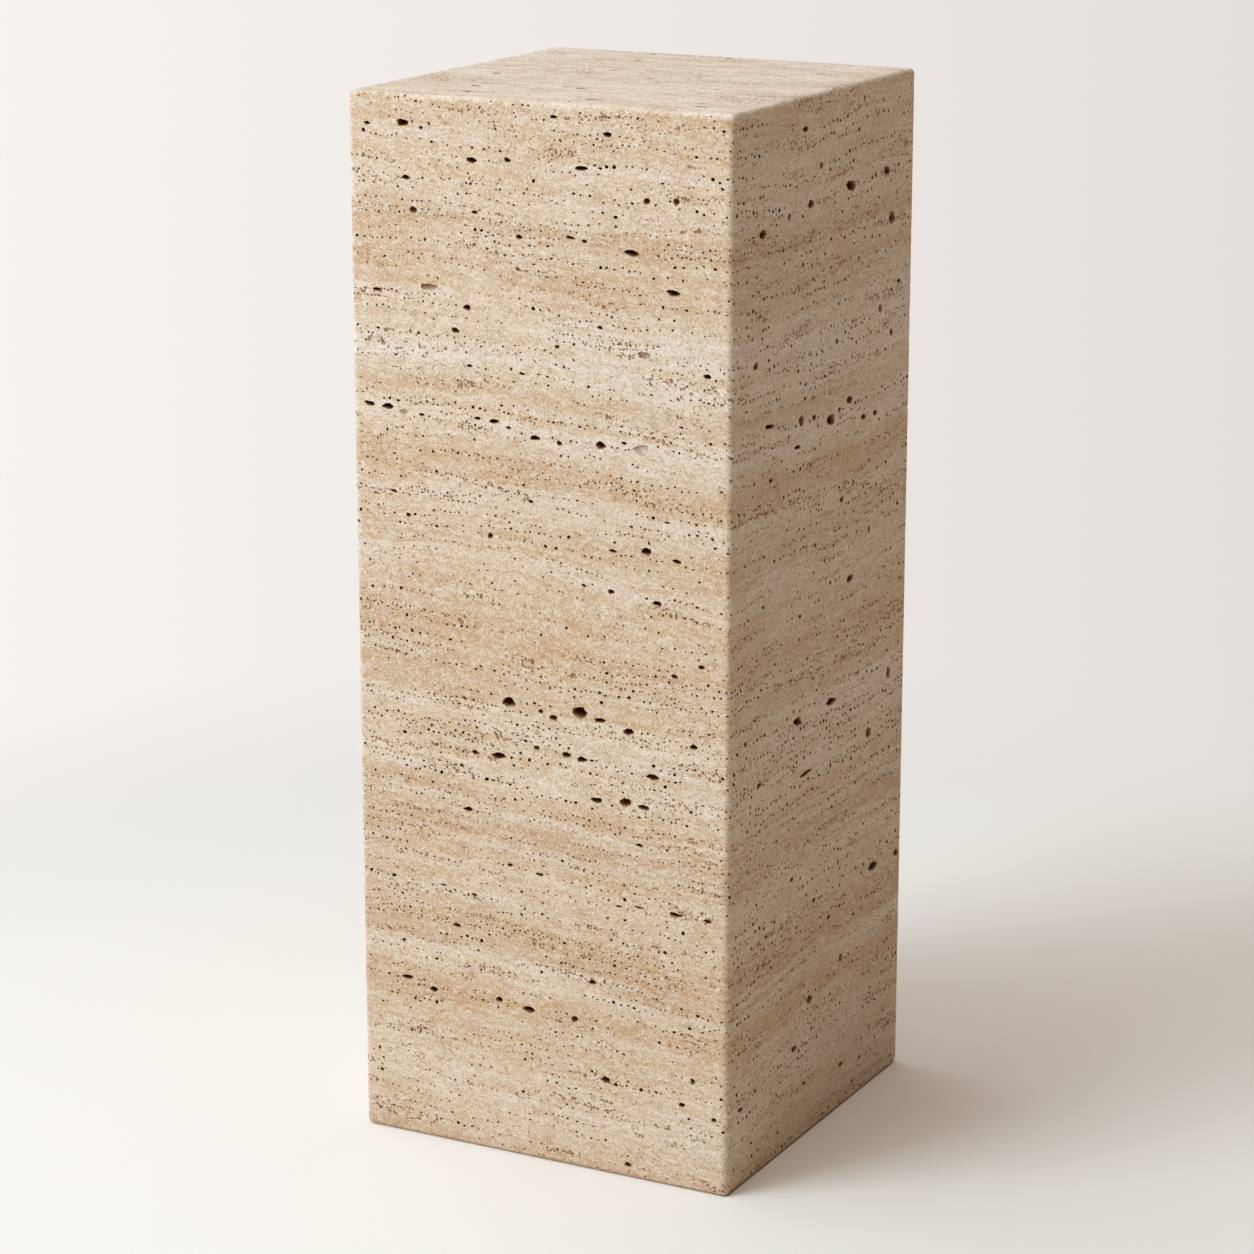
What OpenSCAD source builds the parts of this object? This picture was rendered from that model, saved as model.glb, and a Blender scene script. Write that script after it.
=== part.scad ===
// Square pedestal, cut as one solid block of honed, unfilled travertine.
// Its arrises are eased, and the stone's larger open vugs are hollows shaped
// like a lens, lying flat along the bedding. The origin is at the centre of
// the underside, with the front towards -Y and the bedding falling towards +X.

/* [Block] */
// Width, from the left side to the right side
block_width = 350; // [200:10:600]
// Depth, from the front to the back
block_depth = 350; // [200:10:600]
// Height, from the underside to the top
block_height = 900; // [300:10:1200]

/* [Arrises] */
// Radius of the four upright arrises
upright_arris = 5; // [1:0.5:15]
// Radius of the arrises round the top
top_arris = 5; // [1:0.5:15]
// Radius of the arrises round the underside
foot_arris = 5; // [1:0.5:15]

/* [Stone] */
// Fall of the bedding from left to right, in degrees
bedding_fall = 3; // [0:0.5:8]
// Size of the open vugs, as a share of their usual size
vug_scale = 1; // [0.5:0.05:1.3]
// Number of vugs in each open bed on the two plain sides
vugs_per_bed = 3; // [0:1:5]
// Choice of places for the vugs on the two plain sides
vug_seed = 7; // [1:1:99]

/* [Hidden] */
travertine = [0.84, 0.75, 0.64];
$fn = 48;

// The four sides, numbered anticlockwise seen from above.
front_side = 0;
right_side = 1;
back_side = 2;
left_side = 3;

// The face that the vugs are drawn on. They spread with the real one.
drawn_width = 350;
drawn_height = 900;

// The larger vugs of a side, from the top down: the middle of the mouth, from
// the left edge of the drawn face and up from its foot, then the length and
// the height of the mouth.
front_vugs = [
    [52, 876, 11, 6],
    [116, 850, 10, 5],
    [216, 850, 12, 4],
    [206, 794, 9, 3],
    [260, 786, 13, 6],
    [298, 757, 12, 5],
    [75, 744, 18, 5],
    [272, 705, 12, 6],
    [16, 642, 10, 4],
    [34, 641, 11, 5],
    [134, 638, 9, 4],
    [173, 628, 10, 4],
    [233, 628, 9, 7],
    [270, 628, 15, 9],
    [274, 545, 9, 6],
    [284, 503, 9, 4],
    [146, 402, 13, 8],
    [212, 402, 14, 10],
    [232, 398, 11, 4],
    [258, 392, 11, 6],
    [200, 364, 9, 5],
    [215, 362, 10, 5],
    [280, 356, 11, 5],
    [136, 354, 14, 6],
    [255, 331, 10, 8],
    [228, 329, 11, 5],
    [272, 329, 11, 5],
    [106, 303, 9, 4],
    [302, 241, 12, 4],
    [44, 143, 12, 4],
    [163, 134, 13, 6],
];
right_vugs = [
    [293, 820, 11, 6],
    [220, 817, 16, 7],
    [53, 800, 10, 6],
    [304, 779, 10, 9],
    [69, 642, 14, 3],
    [223, 636, 10, 5],
    [186, 626, 13, 7],
    [122, 615, 9, 3],
    [229, 480, 11, 5],
    [128, 380, 13, 6],
    [195, 380, 15, 5],
    [273, 332, 9, 7],
    [145, 330, 18, 3],
    [288, 205, 15, 6],
    [159, 123, 10, 6],
];

// The beds that are open enough for vugs on the plain sides, as shares of the
// height at the middle of the block.
open_beds = [0.94, 0.88, 0.71, 0.44, 0.40, 0.15];
plain_vug_lengths = [8, 14];
plain_vug_flatness = 0.5;
// Share of its slot along a bed within which a vug may lie.
slot_use = 0.7;

// Width of a side, and how far the side stands from the middle of the block.
function side_width(side) = side % 2 == 0 ? block_width : block_depth;
function side_reach(side) = (side % 2 == 0 ? block_depth : block_width) / 2;

// Turns a place on a side, given as shares, into the direction of the block.
function on_side(side, across, up) =
    let (along = (across - 0.5) * side_width(side))
    let (out = side_reach(side))
    let (rise = up * block_height)
    side == front_side ? [along, -out, rise]
    : side == right_side ? [out, along, rise]
    : side == back_side ? [-along, out, rise]
    : [-out, -along, rise];

// Height of a bed at x, as a share of the block's height.
function bed_at(bed, x) = bed - x * tan(bedding_fall) / block_height;

// A square-cornered outline with its corners rounded, about the middle of its
// lower edge. The lower and the upper pair of corners have radii of their own.
module eased_outline(width, height, low_radius, high_radius) {
    union() {
        translate([-width / 2 + low_radius, 0])
            square([width - 2 * low_radius, low_radius]);
        translate([-width / 2, low_radius])
            square([width, height - low_radius - high_radius]);
        translate([-width / 2 + high_radius, height - high_radius])
            square([width - 2 * high_radius, high_radius]);
        for (hand = [-1, 1]) {
            translate([hand * (width / 2 - low_radius), low_radius])
                circle(r = low_radius);
            translate([hand * (width / 2 - high_radius), height - high_radius])
                circle(r = high_radius);
        }
    }
}

// The block with every arris eased: its plan and its two elevations, crossed.
module eased_block() {
    intersection() {
        translate([0, -block_depth / 2, 0])
            linear_extrude(block_height)
                eased_outline(block_width, block_depth, upright_arris, upright_arris);
        translate([0, block_depth / 2, 0])
            rotate([90, 0, 0])
                linear_extrude(block_depth)
                    eased_outline(block_width, block_height, foot_arris, top_arris);
        translate([-block_width / 2, 0, 0])
            rotate([90, 0, 90])
                linear_extrude(block_width)
                    eased_outline(block_depth, block_height, foot_arris, top_arris);
    }
}

// A lens whose rim is a circle of the given length across, lying flat, and
// whose middle is as thick as the opening: the overlap of two equal spheres.
module lens(length, opening) {
    radius = (pow(length, 2) + pow(opening, 2)) / (4 * opening);
    intersection_for (hand = [-1, 1])
        translate([0, 0, hand * (radius - opening / 2)])
            sphere(r = radius);
}

// One vug: a lens in the plane of the bedding, centred on the face of a side,
// so that half of it is sunk in the stone.
module vug(side, across, up, length, opening) {
    translate(on_side(side, across, up))
        rotate([0, bedding_fall, 0])
            lens(length * vug_scale, opening * vug_scale);
}

// The vugs drawn for a side.
module drawn_vugs(side, vugs) {
    for (v = vugs)
        vug(side, v[0] / drawn_width, v[1] / drawn_height, v[2], v[3]);
}

// Vugs in the open beds of a plain side, one somewhere in each equal slot.
module bed_vugs(side) {
    for (b = [0 : len(open_beds) - 1]) {
        seed = vug_seed + 10 * b + side;
        shifts = rands(-slot_use / 2, slot_use / 2, vugs_per_bed, seed);
        lengths = rands(plain_vug_lengths[0], plain_vug_lengths[1], vugs_per_bed, seed + 100);
        for (k = [0 : 1 : vugs_per_bed - 1]) {
            across = (k + 0.5 + shifts[k]) / vugs_per_bed;
            up = bed_at(open_beds[b], on_side(side, across, 0)[0]);
            vug(side, across, up, lengths[k], lengths[k] * plain_vug_flatness);
        }
    }
}

module pedestal_block() {
    color(travertine)
        difference() {
            eased_block();
            drawn_vugs(front_side, front_vugs);
            drawn_vugs(right_side, right_vugs);
            bed_vugs(back_side);
            bed_vugs(left_side);
        }
}

pedestal_block();
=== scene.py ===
"""Looks of a square pedestal of honed, unfilled travertine.

The block is one closed mesh. Its four sides are a single sheet, unrolled as
(u, w): u runs round the block and w up it, arrises included. The top and the
underside are flat sheets that close it. Pits and vugs are real hollows in the
sheets, laid along the same beds that the stone's colours follow.
"""

import math
import random
from collections import namedtuple

import bmesh
import bpy
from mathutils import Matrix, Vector, noise
from mathutils.geometry import delaunay_2d_cdt


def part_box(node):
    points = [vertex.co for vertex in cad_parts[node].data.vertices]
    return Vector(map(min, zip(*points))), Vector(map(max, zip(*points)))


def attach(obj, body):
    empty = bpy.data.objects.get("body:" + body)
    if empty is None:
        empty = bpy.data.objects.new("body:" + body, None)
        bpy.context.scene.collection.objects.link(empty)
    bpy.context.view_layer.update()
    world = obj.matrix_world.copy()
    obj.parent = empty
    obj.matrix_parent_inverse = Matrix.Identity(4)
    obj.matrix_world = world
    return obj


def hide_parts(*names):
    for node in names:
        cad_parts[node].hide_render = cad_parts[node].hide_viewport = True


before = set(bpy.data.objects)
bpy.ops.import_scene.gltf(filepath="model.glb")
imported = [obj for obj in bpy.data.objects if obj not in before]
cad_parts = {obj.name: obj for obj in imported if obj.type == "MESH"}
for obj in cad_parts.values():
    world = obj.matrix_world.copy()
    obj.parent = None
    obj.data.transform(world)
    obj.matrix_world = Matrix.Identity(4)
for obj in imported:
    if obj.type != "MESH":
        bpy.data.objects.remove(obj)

NODE = "pedestal_block"
MM = 0.001
TURN = 2 * math.pi

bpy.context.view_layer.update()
low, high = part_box(NODE)
WIDTH, DEPTH, HEIGHT = (high[axis] - low[axis] for axis in range(3))
ARRIS = 5 * MM

# ---------------------------------------------------------------- the beds
# The beds fall from left to right and undulate. Each wave has its rise, how
# fast it turns along x, y and z, in radians a metre, and where it starts.
FALL = math.tan(math.radians(3))
Wave = namedtuple("Wave", "rise x y z start")
WAVES = (
    Wave(3.2 * MM, 4, 19, 5, 0.4),
    Wave(1.3 * MM, 21, -23, 13, 2.1),
    Wave(1.0 * MM, 47, 38, -29, 4.0),
    Wave(0.6 * MM, 96, -83, 61, 1.0),
)
# Domes and dips that the beds lie over: the middle, the rise, and the reach
# across it and up it.
Swell = namedtuple("Swell", "x y z rise across up")
SWELLS = (
    Swell(-0.065, -0.175, 0.515, 14 * MM, 0.090, 0.045),
    Swell(0.090, -0.175, 0.455, -7 * MM, 0.080, 0.030),
    Swell(0.175, 0.020, 0.760, 6 * MM, 0.080, 0.040),
)


def bed_of(x, y, z):
    """Height in the pile of beds of the stone at a place."""
    height = z + FALL * x
    for wave in WAVES:
        height -= wave.rise * math.sin(wave.x * x + wave.y * y + wave.z * z + wave.start)
    for swell in SWELLS:
        off = ((x - swell.x) / swell.across) ** 2 + ((y - swell.y) / swell.across) ** 2
        height -= swell.rise * math.exp(-off - ((z - swell.z) / swell.up) ** 2)
    return height


# Rounds after which the height of a bed no longer changes.
ROUNDS = 6


def height_of(bed, x, y):
    """Height above the foot at which a bed comes out at (x, y)."""
    z = bed
    for _ in range(ROUNDS):
        z += bed - bed_of(x, y, z)
    return z


# Tones of the stone in daylight, as 8-bit sRGB.
WHITE = (242, 226, 205)
PALE = (238, 220, 196)
CREAM = (234, 213, 187)
BEIGE = (229, 205, 176)
TAN = (224, 196, 163)
OCHRE = (218, 183, 143)
BROWN = (210, 175, 136)
CALCITE = (250, 243, 232)
# SHELL and SAND are the streaks of the top, which also carry its painted sheen.
SHELL = (238, 229, 218)
SAND = (207, 186, 165)
RUST = (186, 136, 84)
SIENNA = (138, 83, 20)
UMBER = (68, 36, 5)

# The beds from the top down: the height of the middle in millimetres, the
# tone, the rows of pits, and the pits to a metre of row.
Bed = namedtuple("Bed", "middle tone rows pits")
UPPER_BEDS = (
    Bed(910, TAN, 1, 90),
    Bed(890, TAN, 2, 130),
    Bed(875, BEIGE, 2, 150),
    Bed(850, CREAM, 2, 200),
    Bed(828, CREAM, 3, 140),
    Bed(808, BEIGE, 2, 90),
    Bed(795, BROWN, 3, 280),
    Bed(780, TAN, 2, 130),
    Bed(755, TAN, 3, 140),
    Bed(733, CREAM, 3, 140),
    Bed(705, PALE, 5, 150),
    Bed(677, WHITE, 3, 90),
    Bed(656, TAN, 2, 70),
    Bed(632, WHITE, 3, 240),
    Bed(618, CREAM, 1, 70),
    Bed(600, OCHRE, 4, 150),
    Bed(568, CREAM, 3, 150),
    Bed(545, TAN, 2, 220),
    Bed(531, TAN, 1, 150),
    Bed(518, CREAM, 2, 180),
    Bed(485, BEIGE, 3, 80),
)
LOWER_BEDS = (
    Bed(455, OCHRE, 3, 220),
    Bed(435, TAN, 5, 240),
    Bed(412, TAN, 2, 160),
    Bed(392, WHITE, 4, 200),
    Bed(365, CREAM, 5, 220),
    Bed(335, PALE, 4, 170),
    Bed(315, OCHRE, 3, 180),
    Bed(303, CREAM, 1, 260),
    Bed(288, BROWN, 3, 240),
    Bed(258, CREAM, 4, 150),
    Bed(225, BEIGE, 4, 110),
    Bed(198, OCHRE, 4, 260),
    Bed(182, BROWN, 2, 260),
    Bed(165, PALE, 2, 150),
    Bed(140, OCHRE, 3, 190),
    Bed(115, BEIGE, 3, 130),
    Bed(80, CREAM, 5, 90),
    Bed(45, PALE, 3, 80),
    Bed(8, TAN, 3, 90),
)
BEDS = UPPER_BEDS + LOWER_BEDS
# Height in millimetres at which the highest bed ends, just above the block.
TOP_OF_PILE = 920

# Vugs that show by themselves on the front and on the right side, in
# millimetres: from the left edge of the side, up from the foot, and the
# length and the height of the mouth.
FRONT_VUGS = (
    (52, 876, 11, 6), (116, 850, 10, 5), (216, 850, 12, 4), (206, 794, 9, 3),
    (260, 786, 13, 6), (298, 757, 12, 5), (16, 642, 10, 4), (34, 641, 11, 5),
    (134, 638, 9, 4), (173, 628, 10, 4), (233, 628, 9, 7), (274, 545, 9, 6),
    (284, 503, 9, 4), (146, 402, 13, 8), (212, 402, 14, 10), (232, 398, 11, 4),
    (258, 392, 11, 6), (200, 364, 9, 5), (215, 362, 10, 5), (280, 356, 11, 5),
    (136, 354, 14, 6), (255, 331, 10, 8), (228, 329, 11, 5), (272, 329, 11, 5),
    (106, 303, 9, 4), (302, 241, 12, 4), (44, 143, 12, 4), (163, 134, 13, 6),
    (18, 874, 6, 3), (191, 889, 7, 3), (239, 878, 8, 4), (69, 873, 4, 3),
    (149, 852, 7, 4), (54, 832, 8, 4), (274, 828, 6, 5), (300, 829, 5, 6),
    (118, 808, 6, 3), (61, 806, 7, 6), (159, 791, 6, 4), (218, 792, 5, 3),
    (25, 738, 8, 3), (110, 730, 7, 5), (232, 724, 5, 3), (99, 710, 8, 4),
    (193, 705, 5, 3), (328, 693, 8, 4), (112, 682, 6, 3), (161, 680, 6, 3),
    (305, 650, 5, 2), (66, 637, 6, 3), (119, 639, 6, 3), (148, 634, 5, 3),
    (195, 626, 5, 4), (254, 632, 5, 3), (38, 570, 7, 3), (168, 575, 5, 3),
    (293, 571, 6, 2), (52, 551, 5, 4), (130, 542, 5, 5), (244, 542, 8, 3),
    (301, 540, 8, 4), (217, 510, 5, 3), (242, 508, 6, 4), (324, 455, 6, 4),
    (300, 444, 6, 4), (176, 398, 5, 4), (188, 394, 7, 5), (318, 387, 7, 5),
    (172, 366, 6, 4), (113, 354, 6, 4), (268, 296, 7, 3), (146, 260, 5, 3),
    (174, 256, 8, 3), (249, 240, 7, 2), (268, 242, 9, 2), (331, 240, 8, 3),
    (32, 233, 5, 3), (81, 232, 7, 2), (111, 228, 5, 3), (94, 198, 8, 4),
    (41, 176, 4, 4), (224, 169, 8, 4), (70, 136, 8, 5), (134, 138, 7, 5),
    (207, 133, 7, 6), (237, 84, 8, 6), (318, 98, 4, 6), (308, 75, 6, 4),
    (338, 67, 5, 4), (15, 73, 3, 4), (258, 12, 7, 4),
)
# Vugs of the front that are nearly filled with calcite.
FILLED_VUGS = ((75, 744, 18, 5), (272, 705, 12, 6), (270, 628, 15, 9), (49, 638, 9, 4))
RIGHT_VUGS = (
    (293, 820, 11, 6), (220, 817, 16, 7), (53, 800, 10, 6), (304, 779, 10, 9),
    (69, 642, 14, 3), (223, 636, 10, 5), (186, 626, 13, 7), (122, 615, 9, 3),
    (229, 480, 11, 5), (128, 380, 13, 6), (195, 380, 15, 5), (273, 332, 9, 7),
    (145, 330, 18, 3), (288, 205, 15, 6), (159, 123, 10, 6), (130, 874, 8, 4),
    (161, 841, 5, 5), (101, 807, 5, 5), (108, 800, 4, 5), (142, 812, 8, 6),
    (42, 696, 7, 5), (283, 704, 6, 6), (307, 680, 6, 5), (321, 722, 7, 3),
    (196, 690, 5, 4), (128, 636, 8, 7), (153, 634, 6, 4), (203, 631, 5, 4),
    (252, 616, 8, 4), (276, 615, 6, 4), (72, 597, 6, 3), (210, 553, 6, 4),
    (267, 515, 4, 6), (130, 470, 5, 4), (314, 376, 6, 9), (55, 344, 7, 3),
    (338, 203, 8, 5), (196, 186, 7, 3), (165, 211, 5, 4), (222, 141, 6, 6),
    (128, 88, 8, 5), (150, 49, 6, 3), (225, 40, 6, 4), (29, 386, 5, 4),
    (25, 70, 8, 3), (120, 243, 6, 3),
)
# Shallow vugs of the top: from its left edge, from its front edge, and the
# length and the width of the mouth.
TOP_VUGS = (
    (210, 33, 22, 6), (305, 33, 20, 6), (93, 34, 9, 7), (82, 68, 11, 7),
    (167, 91, 15, 6), (150, 96, 9, 4), (55, 149, 10, 7), (297, 52, 9, 4),
    (185, 178, 11, 4), (202, 157, 8, 4), (132, 214, 12, 4), (296, 273, 11, 4),
    (115, 289, 10, 6), (107, 335, 8, 6), (180, 337, 9, 5), (295, 336, 8, 5),
)
# Beds that are open enough for vugs on the other two sides, as shares of the
# height, and how many vugs each has there, how long in millimetres, and how flat.
OPEN_BEDS = (0.94, 0.88, 0.71, 0.60, 0.44, 0.40, 0.27, 0.15)
OPEN_BED_VUGS = 5
OPEN_BED_LENGTHS = (5, 13)
OPEN_BED_FLATNESS = (0.35, 0.6)

# ---------------------------------------------------------------- the sheets
# The way round an arris, half the width and the depth inside the arrises, and
# the w of the upper rim of the side sheet.
QUARTER = ARRIS * math.pi / 2
INNER_X, INNER_Y = WIDTH / 2 - ARRIS, DEPTH / 2 - ARRIS
SHEET_TOP = HEIGHT - 2 * ARRIS + 2 * QUARTER
# Steps round an arris, the spacing of points along the edges and over the flats,
# how many millimetres those over the flats may shift, and a narrow band beside
# each arris that keeps the flats flat.
BEND_STEPS = 4
EDGE_STEP = 5 * MM
FILL_STEP = 14 * MM
FILL_SHIFT = 3
EASE_BAND = 1.5 * MM

# A stretch of the way round the block, either the flat of a side or the arris
# after it: where it starts and how long it is, its first corner or its centre,
# the direction along it, the direction outwards, how thickly it is pitted, and
# how large its pits are.
Stretch = namedtuple("Stretch", "start length point along out pitted coarse is_bend")
SIDES = ("left", "front", "right", "back")
PITTED = (0.35, 1.0, 0.66, 0.35)
COARSE = (1.1, 1.0, 1.25, 1.1)


def way_round():
    """Flats and arrises in turn, from the back end of the left side."""
    x, y = INNER_X, INNER_Y
    corners = [Vector(pair) for pair in ((-x, y), (-x, -y), (x, -y), (x, y))]
    outs = [Vector(pair) for pair in ((-1, 0), (0, -1), (1, 0), (0, 1))]
    start = 0.0
    stretches = []
    for number, kind in enumerate(zip(PITTED, COARSE)):
        here, after = corners[number], corners[(number + 1) % len(SIDES)]
        out, turned = outs[number], outs[(number + 1) % len(SIDES)]
        along = after - here
        flat = Stretch(start, along.length, here, along.normalized(), out, *kind, False)
        start += flat.length
        bend = Stretch(start, QUARTER, after, turned, out, *kind, True)
        start += bend.length
        stretches += [flat, bend]
    return stretches, start


ROUND, PERIMETER = way_round()
FLATS = dict(zip(SIDES, ROUND[0::2]))
BENDS = ROUND[1::2]


def stretch_at(u):
    """The stretch that u lies on."""
    for stretch in ROUND:
        if u <= stretch.start + stretch.length:
            return stretch
    return ROUND[-1]


def plan(u):
    """Point of the inner plan and the direction outwards, at u round the block."""
    stretch = stretch_at(u)
    on = u - stretch.start
    if stretch.is_bend:
        angle = on / ARRIS
        return stretch.point, stretch.out * math.cos(angle) + stretch.along * math.sin(angle)
    return stretch.point + stretch.along * on, stretch.out


def profile(w):
    """Share of the arris outwards, height, and slope of the face, at w up the block."""
    if w < QUARTER:
        angle = w / ARRIS - math.pi / 2
        return math.cos(angle), ARRIS + ARRIS * math.sin(angle), angle
    if w > SHEET_TOP - QUARTER:
        angle = (w - SHEET_TOP + QUARTER) / ARRIS
        return math.cos(angle), HEIGHT - ARRIS + ARRIS * math.sin(angle), angle
    return 1.0, w - QUARTER + ARRIS, 0.0


def side_point(u, w, depth=0.0):
    """Place of a point of the side sheet, sunk by a depth."""
    inner, out = plan(u)
    share, z, slope = profile(w)
    reach = ARRIS * share - depth * math.cos(slope)
    return inner.x + out.x * reach, inner.y + out.y * reach, z - depth * math.sin(slope)


def top_point(a, b, depth=0.0):
    """Place of a point of the top, sunk by a depth."""
    return a, b, HEIGHT - depth


def foot_point(a, b, depth=0.0):
    """Place of a point of the underside, sunk by a depth."""
    return a, -b, depth


# ---------------------------------------------------------------- the hollows
# A hollow is cut through a sheet along the outline of its mouth, and sunk in
# rings, each a share of the outline at a share of the depth, to one low point.
Hollow = namedtuple("Hollow", "a b length height tilt depth corners rings reach_a reach_b")
SMALL_PIT_RINGS = ()
BIG_PIT_RINGS = ((0.80, 0.60),)
VUG_RINGS = ((0.95, 0.30), (0.82, 0.70), (0.50, 0.94))
# Length from which a pit or a vug has more corners.
BIG_PIT = 3.5 * MM
BIG_VUG = 8 * MM
# The usual length of a row's pits, in millimetres, and of the loose ones on the
# sides and on the top and the underside. Then how they vary about it, and the
# shortest and the longest.
ROW_PITS = (2.2, 3.0)
LOOSE_PIT = 2.4 * MM
FLAT_PIT = 2.8 * MM
PIT_VARIES = 0.20
PIT_LENGTHS = (1.8 * MM, 5 * MM)
# How flat their mouths are, and how far the drawn vugs are opened out.
PIT_FLATNESS = (0.52, 0.95)
OPENED = 1.2
# How deep they go, as shares of the mouth.
PIT_SINK = (0.9, 1.5)
VUG_SINK = (0.6, 0.8)
FILLED_SINK = (0.15, 0.22)
TOP_SINK = (0.25, 0.40)
# Room kept between hollows and from them to loose points, the cells they are
# looked up in, and the margin kept from the sheets' rims.
GAP = 0.45 * MM
CLEAR = 0.8 * MM
CELL = 12 * MM
MARGIN = 5 * MM
# Pits tried for each one that the beds name, since some find no room.
PACKING = 1.4
# Loose pits on the sides, those tried on the top and on the underside, and how
# many of these lie together.
LOOSE_PITS = 800
FLAT_PITS = 110
FLAT_DRIFT = 5


def hollow(a, b, length, height, tilt, depth, corners, rings):
    """A hollow, with how far its mouth may reach each way."""
    cosine, sine = abs(math.cos(tilt)), abs(math.sin(tilt))
    reach_a = (length * cosine + height * sine) / 2
    reach_b = (length * sine + height * cosine) / 2
    return Hollow(a, b, length, height, tilt, depth, corners, rings, reach_a, reach_b)


def pit(a, b, length, tilt, rng):
    """A small hollow with few corners."""
    height = length * rng.uniform(*PIT_FLATNESS)
    depth = height * rng.uniform(*PIT_SINK)
    if length > BIG_PIT:
        return hollow(a, b, length, height, tilt, depth, 8, BIG_PIT_RINGS)
    return hollow(a, b, length, height, tilt, depth, 5, SMALL_PIT_RINGS)


def vug(a, b, length, height, sink, rng):
    """A larger hollow with rounded walls."""
    depth = (length + height) / 2 * rng.uniform(*sink)
    corners = 14 if length > BIG_VUG else 10
    return hollow(a, b, length, height, rng.uniform(-0.20, 0.10), depth, corners, VUG_RINGS)


class Ground:
    """The hollows of one sheet, kept from touching each other."""

    def __init__(self):
        self.cells = {}
        self.hollows = []

    def near(self, a, b):
        """The hollows in the cells about a place."""
        column, row = int(a // CELL), int(b // CELL)
        for i in (-1, 0, 1):
            for j in (-1, 0, 1):
                yield from self.cells.get((column + i, row + j), ())

    def is_clear(self, a, b, reach_a, reach_b):
        """Whether a box about a place misses every hollow."""
        for old in self.near(a, b):
            if abs(old.a - a) < old.reach_a + reach_a and abs(old.b - b) < old.reach_b + reach_b:
                return False
        return True

    def add(self, new):
        """Adds a hollow if there is room for it."""
        if not self.is_clear(new.a, new.b, new.reach_a + GAP, new.reach_b + GAP):
            return False
        cell = int(new.a // CELL), int(new.b // CELL)
        self.cells.setdefault(cell, []).append(new)
        self.hollows.append(new)
        return True


def w_of(z):
    """The w of a height on the flat of a side."""
    return z - ARRIS + QUARTER


def drawn_vugs(ground, side, vugs, sink, rng):
    """The vugs that have places of their own on a side."""
    for across, up, length, height in vugs:
        u = FLATS[side].start + across * MM - ARRIS
        spread = OPENED * MM * FLATS[side].coarse
        ground.add(vug(u, w_of(up * MM), length * spread, height * spread, sink, rng))


def open_bed_vugs(ground, side, rng):
    """Vugs somewhere along the open beds of a side."""
    flat = FLATS[side]
    for share in OPEN_BEDS:
        for _ in range(OPEN_BED_VUGS):
            u = flat.start + flat.length * rng.uniform(0.03, 0.97)
            w = w_of(surface_height(share * HEIGHT, u))
            length = rng.uniform(*OPEN_BED_LENGTHS) * MM
            height = length * rng.uniform(*OPEN_BED_FLATNESS)
            ground.add(vug(u, w, length, height, VUG_SINK, rng))


def surface_height(bed, u):
    """Height at which a bed comes out at u round the block."""
    inner, out = plan(u)
    return height_of(bed, inner.x + out.x * ARRIS, inner.y + out.y * ARRIS)


def bed_slope(bed, u):
    """Angle at which a bed crosses the side sheet."""
    step = 2 * MM
    rise = surface_height(bed, min(u + step, PERIMETER)) - surface_height(bed, max(u - step, 0))
    return math.atan2(rise, 2 * step)


def pit_length(middle, rng):
    """A pit's length: most are close to the middle one, a few much longer."""
    shortest, longest = PIT_LENGTHS
    return min(max(rng.lognormvariate(math.log(middle), PIT_VARIES), shortest), longest)


def lay_row(ground, bed, pits, rng):
    """A row of pits along one bed, all the way round, that comes and goes."""
    phase = rng.uniform(0, 100)
    middle = rng.uniform(*ROW_PITS) * MM
    share = rng.uniform(0.2, 1.0)
    u = MARGIN
    while u < PERIMETER - MARGIN:
        here, _ = plan(u)
        crowd = share + 3.2 * noise.noise(Vector((here.x * 17 + phase, here.y * 17, phase)))
        if rng.random() < crowd * stretch_at(u).pitted:
            wander = 2.0 * MM * noise.noise(Vector((u * 20, phase, 0)))
            w = w_of(surface_height(bed, u)) + wander + rng.gauss(0, 0.9) * MM
            tilt = bed_slope(bed, u) + rng.gauss(0, 0.50)
            if MARGIN < w < SHEET_TOP - MARGIN:
                length = pit_length(middle * stretch_at(u).coarse, rng)
                ground.add(pit(u, w, length, tilt, rng))
        u += (0.25 + rng.expovariate(1.3)) / (PACKING * pits)


def lay_beds(ground, rng):
    """The rows of pits of every bed."""
    between = [(above.middle + below.middle) / 2 for above, below in zip(BEDS, BEDS[1:])]
    edges = [TOP_OF_PILE, *between, 0]
    for bed, top, bottom in zip(BEDS, edges, edges[1:]):
        for row in range(bed.rows):
            share = (row + rng.uniform(0.2, 0.8)) / bed.rows
            lay_row(ground, (bottom + (top - bottom) * share) * MM, bed.pits, rng)


def scatter(ground, count, rng):
    """Loose pits between the rows, in drifts."""
    placed = 0
    while placed < count:
        u = rng.uniform(MARGIN, PERIMETER - MARGIN)
        w = rng.uniform(MARGIN, SHEET_TOP - MARGIN)
        here, _ = plan(u)
        crowd = 0.15 + 2.4 * noise.noise(Vector((here.x * 14, here.y * 14, w * 26)))
        if rng.random() < crowd * stretch_at(u).pitted:
            length = pit_length(LOOSE_PIT * stretch_at(u).coarse, rng)
            placed += ground.add(pit(u, w, length, rng.gauss(0, 0.5), rng))


def top_vugs(ground, rng):
    """The vugs that have places of their own on the top."""
    for across, back, length, width in TOP_VUGS:
        a, b = across * MM - WIDTH / 2, back * MM - DEPTH / 2
        ground.add(vug(a, b, length * MM, width * MM, TOP_SINK, rng))


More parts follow.
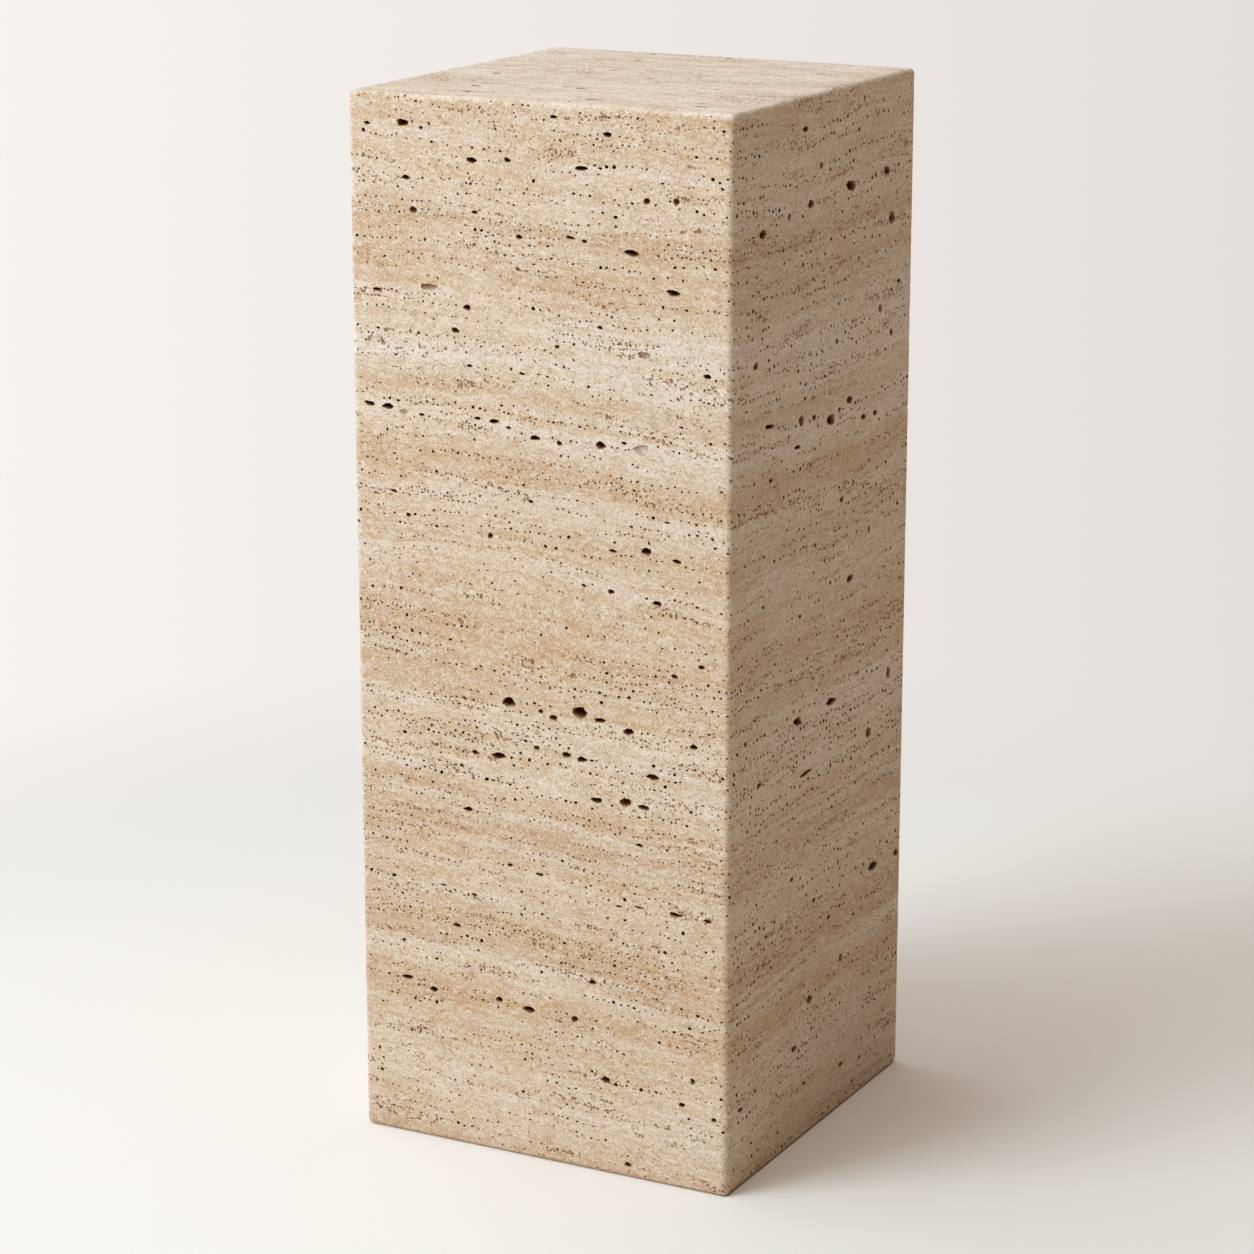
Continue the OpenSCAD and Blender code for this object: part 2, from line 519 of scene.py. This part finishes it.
def scatter_flat(ground, count, rng):
    """Loose pits on the top or the underside, in drifts of a few."""
    for number in range(count):
        if number % FLAT_DRIFT == 0:
            here = rng.uniform(-INNER_X, INNER_X), rng.uniform(-INNER_Y, INNER_Y)
        a = here[0] + rng.gauss(0, 14) * MM
        b = here[1] + rng.gauss(0, 5) * MM
        if abs(a) < INNER_X - MARGIN and abs(b) < INNER_Y - MARGIN:
            ground.add(pit(a, b, pit_length(FLAT_PIT, rng), rng.gauss(0, 0.3), rng))


# ---------------------------------------------------------------- the shell
class Shell:
    """Gathers the corners and the faces of the whole block."""

    def __init__(self):
        self.points = []
        self.places = []
        self.faces = []
        self.shades = []

    def corner(self, point, place):
        """Adds a corner with its place on the map, and gives its number."""
        self.points.append(point)
        self.places.append(place)
        return len(self.points) - 1

    def face(self, corners, shades):
        """Adds a face with how dark it is painted at each corner: stain and painted shade in the
        hollows.
        """
        self.faces.append(corners)
        self.shades.append(shades)


# How far the walls are painted towards dark brown at the rim and at the lowest
# point, their brown stain together with painted shade, and how far up its wall the
# low point of a vug lies, as a share of its height.
PIT_STAIN_AND_SHADE = (0.55, 1.0)
VUG_STAIN_AND_SHADE = (0.25, 0.95)
VUG_DRIFT = 0.18


def outline(made, rng):
    """Corners of a hollow's mouth: a lens with uneven ends."""
    pointed = rng.uniform(0.9, 1.5)
    lean = rng.uniform(-0.4, 0.4)
    cosine, sine = math.cos(made.tilt), math.sin(made.tilt)
    points = []
    for k in range(made.corners):
        angle = TURN * (k + rng.uniform(-0.22, 0.22)) / made.corners
        grow = rng.uniform(0.70, 1.0)
        up = math.copysign(abs(math.sin(angle)) ** pointed, math.sin(angle)) * grow
        across = math.cos(angle) * grow + lean * up * up * (1 - up * up / 2)
        dx = across * made.length / 2
        dy = up * made.height / 2
        points.append((made.a + dx * cosine - dy * sine, made.b + dx * sine + dy * cosine))
    return points


def sink(shell, made, rim, shape, place, on_map):
    """Fills the mouth of a hollow with its walls."""
    is_vug = made.rings is VUG_RINGS
    at_rim, at_bottom = VUG_STAIN_AND_SHADE if is_vug else PIT_STAIN_AND_SHADE
    # The bottom is painted darker the deeper the hollow is for its mouth: painted shade on top of
    # the walls' brown stain.
    at_bottom *= min(1.0, made.depth / made.height)
    drift = VUG_DRIFT * made.height if is_vug else 0.0
    before, shade_before = rim, at_rim
    for share, down in made.rings:
        ring = []
        for a, b in shape:
            a = made.a + (a - made.a) * share
            b = made.b + (b - made.b) * share + drift * down
            ring.append(shell.corner(place(a, b, made.depth * down), on_map(a, b)))
        shade = at_rim + (at_bottom - at_rim) * down
        for k in range(len(ring)):
            following = (k + 1) % len(ring)
            corners = (before[k], before[following], ring[following], ring[k])
            shell.face(corners, (shade_before, shade_before, shade, shade))
        before, shade_before = ring, shade
    middle = made.a, made.b + drift
    lowest = shell.corner(place(*middle, made.depth), on_map(*middle))
    for k in range(len(before)):
        corners = (before[k], before[(k + 1) % len(before)], lowest)
        shell.face(corners, (shade_before, shade_before, at_bottom))


def turns_left(a, b, c):
    """Whether three points of a sheet run anticlockwise."""
    return (b.x - a.x) * (c.y - a.y) > (b.y - a.y) * (c.x - a.x)


def add_sheet(shell, ground, loose, place, on_map, rng):
    """Triangulates a sheet round its hollows, and sinks them."""
    shapes = [outline(made, rng) for made in ground.hollows]
    flat = [Vector(point) for point in loose]
    mouths = []
    for shape in shapes:
        mouths.append(list(range(len(flat), len(flat) + len(shape))))
        flat.extend(Vector(point) for point in shape)
    verts, _, triangles, sources, _, owners = delaunay_2d_cdt(flat, [], mouths, 0, 1e-9)
    corner_of = {}
    first = len(shell.points)
    for vert, given in zip(verts, sources):
        corner = shell.corner(place(vert.x, vert.y), on_map(vert.x, vert.y))
        corner_of.update(dict.fromkeys(given, corner))
    for triangle, owner in zip(triangles, owners):
        if owner:
            continue
        a, b, c = triangle
        if not turns_left(verts[a], verts[b], verts[c]):
            b, c = c, b
        shell.face((first + a, first + b, first + c), (0.0, 0.0, 0.0))
    for made, shape, mouth in zip(ground.hollows, shapes, mouths):
        sink(shell, made, [corner_of[k] for k in mouth], shape, place, on_map)


def steps(start, end, step):
    """Evenly spaced values from start to end."""
    count = max(1, round((end - start) / step))
    return [start + (end - start) * k / count for k in range(count + 1)]


def bend_columns():
    """The u of the columns of points along the arrises."""
    values = {0.0, EASE_BAND}
    for bend in BENDS:
        values.add(bend.start - EASE_BAND)
        values.update(bend.start + QUARTER * k / BEND_STEPS for k in range(BEND_STEPS + 1))
        if bend is not BENDS[-1]:
            values.add(bend.start + QUARTER + EASE_BAND)
    return sorted(values)


def bend_rows():
    """The w of the rows of points along the foot's and the top's arrises."""
    foot = [QUARTER * k / BEND_STEPS for k in range(BEND_STEPS + 1)] + [QUARTER + EASE_BAND]
    return foot + [SHEET_TOP - w for w in reversed(foot)]


def rim_columns():
    """The u of every point of the side sheet's upper and lower rims."""
    values = set(bend_columns())
    for flat in FLATS.values():
        values.update(steps(flat.start, flat.start + flat.length, EDGE_STEP)[:-1])
    return sorted(values)


def keep_clear(ground, points):
    """The points that stand well away from every hollow."""
    return [point for point in points if ground.is_clear(*point, CLEAR, CLEAR)]


def fill(a_start, a_end, b_start, b_end, rng):
    """Loose points over a flat."""
    points = []
    for a in steps(a_start, a_end, FILL_STEP)[1:-1]:
        for b in steps(b_start, b_end, FILL_STEP)[1:-1]:
            shift_a = rng.uniform(-FILL_SHIFT, FILL_SHIFT) * MM
            shift_b = rng.uniform(-FILL_SHIFT, FILL_SHIFT) * MM
            points.append((a + shift_a, b + shift_b))
    return points


def side_points(ground, rng):
    """Points of the side sheet that belong to no hollow."""
    ups = steps(QUARTER + EASE_BAND, SHEET_TOP - QUARTER - EASE_BAND, EDGE_STEP)
    fixed = [(u, w) for u in (0.0, PERIMETER) for w in ups[1:-1] + bend_rows()]
    fixed += [(u, w) for w in (0.0, SHEET_TOP) for u in rim_columns()[1:-1]]
    free = {(u, w) for u in bend_columns()[1:-1] for w in ups}
    free |= {(u, w) for w in bend_rows()[1:-1] for u in rim_columns()[1:-1]}
    free = sorted(free)
    for flat in FLATS.values():
        free += fill(flat.start, flat.start + flat.length, QUARTER, SHEET_TOP - QUARTER, rng)
    return fixed + keep_clear(ground, free)


def flat_points(ground, sign, rng):
    """Points of the top or the underside, its rim matching the side sheet's."""
    rim = [plan(u)[0] for u in rim_columns()]
    fixed = dict.fromkeys((round(inner.x, 7), round(sign * inner.y, 7)) for inner in rim)
    return list(fixed) + keep_clear(ground, fill(-INNER_X, INNER_X, -INNER_Y, INNER_Y, rng))


# Corners of neighbouring sheets that lie this close are one corner, and edges
# that turn by more than this stay sharp.
SAME = 2e-6
SHARP = math.radians(35)
SEED = 17
# The map: the side sheet along the foot, with the top and the underside above.
MAP_SCALE = 1 / PERIMETER
MAP_GAP = 12 * MM


def side_map(u, w):
    """Place on the map of a point of the side sheet."""
    return u * MAP_SCALE, w * MAP_SCALE


def top_map(a, b):
    """Place on the map of a point of the top."""
    return (a + INNER_X + MAP_GAP) * MAP_SCALE, (b + INNER_Y + SHEET_TOP + MAP_GAP) * MAP_SCALE


def foot_map(a, b):
    """Place on the map of a point of the underside."""
    x, y = top_map(a, b)
    return x + (2 * INNER_X + MAP_GAP) * MAP_SCALE, y


def build_shell(rng):
    """The whole block's corners and faces, sheet by sheet."""
    shell = Shell()
    sides = Ground()
    drawn_vugs(sides, "front", FRONT_VUGS, VUG_SINK, rng)
    drawn_vugs(sides, "front", FILLED_VUGS, FILLED_SINK, rng)
    drawn_vugs(sides, "right", RIGHT_VUGS, VUG_SINK, rng)
    open_bed_vugs(sides, "left", rng)
    open_bed_vugs(sides, "back", rng)
    lay_beds(sides, rng)
    scatter(sides, LOOSE_PITS, rng)
    add_sheet(shell, sides, side_points(sides, rng), side_point, side_map, rng)
    top, foot = Ground(), Ground()
    top_vugs(top, rng)
    for ground, sign, place, on_map in (
        (top, 1, top_point, top_map), (foot, -1, foot_point, foot_map)
    ):
        scatter_flat(ground, FLAT_PITS, rng)
        add_sheet(shell, ground, flat_points(ground, sign, rng), place, on_map, rng)
    return shell


def close_seams(mesh):
    """Joins the sheets where they meet, and checks that the block is closed."""
    work = bmesh.new()
    work.from_mesh(mesh)
    bmesh.ops.remove_doubles(work, verts=work.verts, dist=SAME)
    loose = [edge for edge in work.edges if not edge.is_manifold]
    assert not loose, f"{len(loose)} open edges"
    work.to_mesh(mesh)
    work.free()


def block_object():
    """The block as an object, with its map, its shades and its beds."""
    shell = build_shell(random.Random(SEED))
    mesh = bpy.data.meshes.new("travertine_block")
    mesh.from_pydata(shell.points, [], shell.faces)
    corners = [corner for face in shell.faces for corner in face]
    on_map = mesh.uv_layers.new(name="OFBake")
    on_map.data.foreach_set("uv", [value for k in corners for value in shell.places[k]])
    # How far each corner is painted dark in the hollows: their brown stain together with painted
    # shade.
    pits = mesh.attributes.new("pit", "FLOAT", "CORNER")
    pits.data.foreach_set("value", [shade for shades in shell.shades for shade in shades])
    close_seams(mesh)
    beds = mesh.attributes.new("bed", "FLOAT", "POINT")
    beds.data.foreach_set("value", [bed_of(*vertex.co) for vertex in mesh.vertices])
    mesh.shade_smooth()
    mesh.set_sharp_from_angle(angle=SHARP)
    made = bpy.data.objects.new("travertine_block", mesh)
    bpy.context.scene.collection.objects.link(made)
    return made


# ---------------------------------------------------------------- the stone
def linear(tone):
    """Scene-linear colour of an 8-bit sRGB tone."""
    shares = [value / 255 for value in tone]
    return [v / 12.92 if v <= 0.04045 else ((v + 0.055) / 1.055) ** 2.4 for v in shares]


def rgba(tone):
    """The same with full opacity, as colour sockets take it."""
    return (*linear(tone), 1.0)


class Graph:
    """Short calls for wiring the nodes of a material or of the world."""

    def __init__(self, owner):
        owner.use_nodes = True
        self.nodes = owner.node_tree.nodes
        self.links = owner.node_tree.links
        self.nodes.clear()

    def add(self, kind, inputs, output=0, **settings):
        """Adds a node, links or sets its inputs, and gives one of its outputs."""
        made = self.nodes.new("ShaderNode" + kind)
        for name, value in settings.items():
            setattr(made, name, value)
        for key, value in inputs.items():
            if isinstance(value, bpy.types.NodeSocket):
                self.links.new(value, made.inputs[key])
            else:
                made.inputs[key].default_value = value
        return made.outputs[output]

    def show(self, surface, kind="Material"):
        """Makes a shader the surface of the material or of the world."""
        shown = self.nodes.new("ShaderNodeOutput" + kind)
        self.links.new(surface, shown.inputs["Surface"])

    def maths(self, operation, a, b):
        """Works one value out from two."""
        return self.add("Math", {0: a, 1: b}, operation=operation)

    def scaled(self, vector, sizes):
        """A vector stretched along each axis."""
        return self.add("VectorMath", {0: vector, 1: sizes}, operation="MULTIPLY")

    def noise(self, vector, scale, detail, roughness=0.5, swirl=0.0):
        """Cloudy values from nought to one."""
        inputs = {"Vector": vector, "Scale": scale, "Detail": detail, "Roughness": roughness}
        return self.add("TexNoise", {**inputs, "Distortion": swirl})

    def between(self, value, start, end, low=0.0, high=1.0):
        """Goes smoothly from low to high as the value goes from start to end."""
        inputs = {0: value, 1: start, 2: end, 3: low, 4: high}
        return self.add("MapRange", inputs, interpolation_type="SMOOTHSTEP")

    def mix(self, share, a, b, blend="MIX"):
        """A colour that goes from a to b with the share."""
        inputs = {0: share, 6: a, 7: b}
        return self.add("Mix", inputs, output=2, data_type="RGBA", blend_type=blend)

    def ramp(self, share, stops):
        """The tone at a share of the way along the stops."""
        made = self.nodes.new("ShaderNodeValToRGB")
        made.color_ramp.interpolation = "EASE"
        elements = made.color_ramp.elements
        elements.remove(elements[-1])
        for number, (position, tone) in enumerate(stops):
            element = elements.new(position) if number else elements[0]
            element.position = position
            element.color = rgba(tone)
        self.links.new(share, made.inputs[0])
        return made.outputs[0]


# How the beds are ruffled: features to a metre, and the rise.
RUFFLES = ((26, 6 * MM), (90, 6 * MM), (260, 4 * MM))
# How far the edges of two beds reach into each other, and how thin the leaves
# that do so are.
LEAF_REACH = 45 * MM
LEAVES = (4, 4, 150)


def bed_height(graph, place):
    """Height in the pile of beds, a little ruffled."""
    bed = graph.add("Attribute", {}, output=2, attribute_name="bed")
    for scale, rise in RUFFLES:
        ruffle = graph.maths("SUBTRACT", graph.noise(place, scale, 2), 0.5)
        bed = graph.maths("ADD", bed, graph.maths("MULTIPLY", ruffle, rise))
    return bed


def bed_group(graph, bed, beds):
    """Tones of a group of beds that follow each other."""
    top, bottom = beds[0].middle, beds[-1].middle
    stops = [((each.middle - bottom) / (top - bottom), each.tone) for each in reversed(beds)]
    share = graph.add("MapRange", {0: bed, 1: bottom * MM, 2: top * MM})
    return graph.ramp(share, stops)


def bed_tones(graph, laid, bed):
    """The tone of the bed at each place, its edges interleaved with its neighbours'."""
    leaves = graph.maths("SUBTRACT", graph.noise(graph.scaled(laid, LEAVES), 1, 3), 0.5)
    bed = graph.maths("ADD", bed, graph.maths("MULTIPLY", leaves, LEAF_REACH))
    upper = bed_group(graph, bed, UPPER_BEDS + LOWER_BEDS[:1])
    lower = bed_group(graph, bed, LOWER_BEDS)
    is_upper = graph.maths("GREATER_THAN", bed, LOWER_BEDS[0].middle * MM)
    return graph.mix(is_upper, lower, upper)


# Layers within the beds, from thick to thin: features to a metre along the
# beds and up them, and how far they turn darker and paler than their bed.
Layer = namedtuple("Layer", "along up darker paler")
LAYERS = (
    Layer(2.5, 60, 0.45, 0.40),
    Layer(4, 150, 0.65, 0.60),
    Layer(7, 320, 0.75, 0.70),
    Layer(14, 800, 0.65, 0.65),
)
# What a darker and a paler layer multiply their bed's colour by.
HONEY = (0.94, 0.885, 0.78, 1.0)
CHALK = (1.06, 1.11, 1.20, 1.0)


def with_layers(graph, laid, colour):
    """Layers within the beds."""
    for layer in LAYERS:
        value = graph.noise(graph.scaled(laid, (layer.along, layer.along, layer.up)), 1, 3, 0.6)
        darker = graph.between(value, 0.50, 0.62, 0, layer.darker)
        paler = graph.between(value, 0.50, 0.38, 0, layer.paler)
        colour = graph.mix(darker, colour, HONEY, "MULTIPLY")
        colour = graph.mix(paler, colour, CHALK, "MULTIPLY")
    return colour


# Mottling, from clouds down to grain: features to a metre, how much longer
# they are along the beds, and how far they turn to rust and to calcite.
Mottle = namedtuple("Mottle", "scale stretch rust calcite")
MOTTLES = (
    Mottle(15, 3.0, 0.15, 0.15),
    Mottle(60, 3.0, 0.15, 0.17),
    Mottle(170, 2.5, 0.32, 0.34),
    Mottle(420, 1.8, 0.50, 0.52),
    Mottle(1000, 1.2, 0.80, 0.75),
)


def with_mottling(graph, laid, colour):
    """Patches, mottling and grain."""
    for mottle in MOTTLES:
        sizes = (mottle.scale / mottle.stretch, mottle.scale / mottle.stretch, mottle.scale)
        value = graph.noise(graph.scaled(laid, sizes), 1, 2, 0.55, swirl=1.2)
        colour = graph.mix(graph.between(value, 0.5, 0.7, 0, mottle.rust), colour, rgba(RUST))
        colour = graph.mix(graph.between(value, 0.5, 0.3, 0, mottle.calcite), colour, rgba(CALCITE))
    return colour


def with_top_streaks_and_sheen(graph, place, colour):
    """The top is cut along a bed, with streaks from side to side, and is painted paler where it
    faces up as painted sheen, which reaches into the upper arrises as a painted highlight line.
    """
    facing = graph.add("SeparateXYZ", {0: graph.add("NewGeometry", {}, output=1)}, output=2)
    # Faces that look up, and the upper part of the top arrises, are painted paler: painted sheen
    # and a painted highlight along those arrises.
    top_streaks_and_sheen = graph.between(facing, 0.3, 0.9, 0, 0.8)
    streaks = graph.noise(graph.scaled(place, (11, 55, 1)), 1, 5, 0.7)
    streaked_sheen_tone = graph.mix(graph.between(streaks, 0.40, 0.58), rgba(SAND), rgba(SHELL))
    return graph.mix(top_streaks_and_sheen, colour, streaked_sheen_tone)


def pores(graph, laid):
    """Pinholes too small to model, thicker along some beds, painted as brown dots: their stain
    together with the painted shade inside them.
    """
    cells = graph.scaled(laid, (330, 330, 420))
    apart = graph.add("TexVoronoi", {"Vector": cells, "Scale": 1.0})
    drawn = graph.add("TexVoronoi", {"Vector": cells, "Scale": 1.0}, output=1)
    chance = graph.add("SeparateColor", {0: drawn})
    crowd = graph.noise(graph.scaled(laid, (10, 10, 110)), 1, 2)
    size = graph.maths("MULTIPLY", chance, graph.between(crowd, 0.50, 0.68, 0.0, 0.60))
    return graph.between(graph.maths("SUBTRACT", size, apart), -0.05, 0.05)


def travertine():
    """Honed travertine, beds and hollows and all."""
    material = bpy.data.materials.new("travertine")
    graph = Graph(material)
    place = graph.add("TexCoord", {}, output=3)
    bed = bed_height(graph, place)
    across = graph.add("SeparateXYZ", {0: place})
    along = graph.add("SeparateXYZ", {0: place}, output=1)
    laid = graph.add("CombineXYZ", {0: across, 1: along, 2: bed})
    colour = with_layers(graph, laid, bed_tones(graph, laid, bed))
    colour = with_top_streaks_and_sheen(graph, place, colour)
    colour = with_mottling(graph, laid, colour)
    pinholes = pores(graph, laid)
    # Pinholes are painted sienna: stain together with the painted shade of holes too small to
    # model.
    colour = graph.mix(graph.maths("MULTIPLY", pinholes, 0.85), colour, rgba(SIENNA))
    # The walls of the hollows turn sienna and then umber towards the bottom: their brown stain
    # together with painted shade.
    walls = graph.add("Attribute", {}, output=2, attribute_name="pit")
    colour = graph.mix(graph.between(walls, 0.0, 0.6), colour, rgba(SIENNA))
    colour = graph.mix(graph.between(walls, 0.35, 0.95, 0, 0.95), colour, rgba(UMBER))
    relief = graph.maths("SUBTRACT", graph.noise(laid, 240, 4, 0.6, swirl=1.5), pinholes)
    normal = graph.add("Bump", {"Strength": 0.55, "Distance": 0.5 * MM, "Height": relief})
    shine = graph.between(walls, 0.0, 0.5, 0.28, 0.0)
    inputs = {
        "Base Color": colour, "Roughness": 0.55, "Specular IOR Level": shine, "Normal": normal
    }
    graph.show(graph.add("BsdfPrincipled", inputs))
    return material


# ---------------------------------------------------------------- the studio
# Tones of the floor to the eye, of the light it throws back, and of the backdrop, whose fall from
# left to right is painted fall-off of the light.
FLOOR = (244, 242, 239)
BOUNCED = (235, 221, 206)
LEFT_BACKDROP = (247, 243, 239)
RIGHT_BACKDROP = (227, 222, 218)
# How far off the floor starts to turn to backdrop, how far off it is all
# backdrop, and how far off it ends.
NEAR, FAR = 0.75, 1.5
REACH = 60
# The azimuth of the backdrop's right, how far in front of the block its two
# tones draw together, and how wide apart they lie for each metre off.
ACROSS_BACKDROP = 117.7
MEETING = 3.2
SPREAD = 0.17


def heading(azimuth, elevation):
    """Direction towards something seen at an azimuth and an elevation, in degrees."""
    a, e = math.radians(azimuth), math.radians(elevation)
    return Vector((math.sin(a) * math.cos(e), -math.cos(a) * math.cos(e), math.sin(e)))


def seen_directly(graph):
    """One for what is looked at, mirrored or seen through glass, and nought for light."""
    seen = graph.add("LightPath", {}, output="Is Camera Ray")
    for ray in ("Is Glossy Ray", "Is Transmission Ray"):
        seen = graph.maths("MAXIMUM", seen, graph.add("LightPath", {}, output=ray))
    return seen


def backdrop_tone(graph, place, away):
    """The tone of the far floor, which falls from left to right as a painted fall-off of the light.
    """
    across = heading(ACROSS_BACKDROP, 0)
    aside = graph.add("VectorMath", {0: place, 1: across}, output=1, operation="DOT_PRODUCT")
    share = graph.maths("DIVIDE", aside, graph.maths("ADD", away, MEETING))
    share = graph.add("MapRange", {0: share, 1: -SPREAD, 2: SPREAD})
    return graph.mix(share, rgba(LEFT_BACKDROP), rgba(RIGHT_BACKDROP))


def floor_material():
    """Pale to the eye, warmer in the light it throws back, and backdrop far away."""
    material = bpy.data.materials.new("floor")
    graph = Graph(material)
    is_seen = seen_directly(graph)
    near = graph.add("BsdfDiffuse", {"Color": graph.mix(is_seen, rgba(BOUNCED), rgba(FLOOR))})
    place = graph.add("TexCoord", {}, output=3)
    away = graph.add("VectorMath", {0: place}, output=1, operation="LENGTH")
    far = graph.add("Emission", {"Color": backdrop_tone(graph, place, away)})
    is_far = graph.maths("MULTIPLY", graph.between(away, NEAR, FAR), is_seen)
    graph.show(graph.add("MixShader", {0: is_far, 1: near, 2: far}))
    return material


def lay_floor():
    """A wide pale floor, seen up to its horizon."""
    mesh = bpy.data.meshes.new("floor")
    corners = [(-REACH, -REACH, 0), (REACH, -REACH, 0), (REACH, REACH, 0), (-REACH, REACH, 0)]
    mesh.from_pydata(corners, [], [(0, 1, 2, 3)])
    mesh.materials.append(floor_material())
    floor = bpy.data.objects.new("floor", mesh)
    bpy.context.scene.collection.objects.link(floor)


def hang(lamp, energy, tone, place, facing):
    """Hangs a lamp at a place, shining back along the direction it is seen in."""
    lamp.energy = energy
    lamp.color = linear(tone)
    made = bpy.data.objects.new(lamp.name, lamp)
    made.location = place
    made.rotation_mode = "QUATERNION"
    made.rotation_quaternion = facing.to_track_quat("Z", "Y")
    bpy.context.scene.collection.objects.link(made)


def hang_sun(name, azimuth, elevation, spread, strength, tone):
    """A lamp too far off to fade, as wide in the sky as its spread."""
    lamp = bpy.data.lights.new(name, "SUN")
    lamp.angle = math.radians(spread)
    hang(lamp, strength, tone, (0, 0, 0), heading(azimuth, elevation))


def hang_softbox(name, azimuth, elevation, distance, size, power, tone):
    """A square lamp aimed at the upper part of the block."""
    lamp = bpy.data.lights.new(name, "AREA")
    lamp.size = size
    facing = heading(azimuth, elevation)
    aim = Vector((0, 0, 0.78 * HEIGHT))
    hang(lamp, power, tone, aim + facing * distance, facing)


def light_world(strength, tone):
    """Light from all over the left, strongest level with the ground. What is
    seen past the floor, or mirrored, has the tones of the far floor."""
    world = bpy.data.worlds.new("studio")
    graph = Graph(world)
    way = graph.add("TexCoord", {})
    across = graph.add("SeparateXYZ", {0: way})
    leftward = graph.maths("MAXIMUM", graph.maths("MULTIPLY", across, -1.0), 0.0)
    glow = graph.maths("MULTIPLY", graph.maths("POWER", leftward, 2.0), strength)
    light = graph.add("Background", {0: rgba(tone), 1: glow})
    tone_seen = backdrop_tone(graph, graph.scaled(way, (REACH, REACH, REACH)), REACH)
    plain_view = graph.add("Background", {0: tone_seen, 1: 1.0})
    shaders = {0: seen_directly(graph), 1: light, 2: plain_view}
    graph.show(graph.add("MixShader", shaders), "World")
    bpy.context.scene.world = world


def set_camera():
    """A long lens, a little above the block and off to its right."""
    back = heading(27.73, 15.07)
    target = Vector((-0.009, -0.005, 0.476)) * HEIGHT
    lens = bpy.data.cameras.new("camera")
    lens.lens = 109
    lens.sensor_width = 36
    camera = bpy.data.objects.new("camera", lens)
    camera.location = target + back * 3.637 * HEIGHT
    camera.rotation_mode = "QUATERNION"
    camera.rotation_quaternion = (-back).to_track_quat("-Z", "Y")
    bpy.context.scene.collection.objects.link(camera)
    bpy.context.scene.camera = camera


block = block_object()
block.data.materials.append(travertine())
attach(block, "root")
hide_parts(NODE)

lay_floor()
light_world(strength=1.58, tone=(231, 243, 255))
hang_sun("key", azimuth=-35, elevation=38, spread=36, strength=0.98, tone=(226, 248, 255))
hang_sun("overhead", azimuth=0, elevation=89, spread=60, strength=1.46, tone=(255, 239, 223))
hang_softbox(
    "softbox", azimuth=-35, elevation=30, distance=2.2, size=1.2, power=20.4, tone=(237, 244, 255)
)
set_camera()
bpy.context.scene.view_settings.view_transform = "Standard"
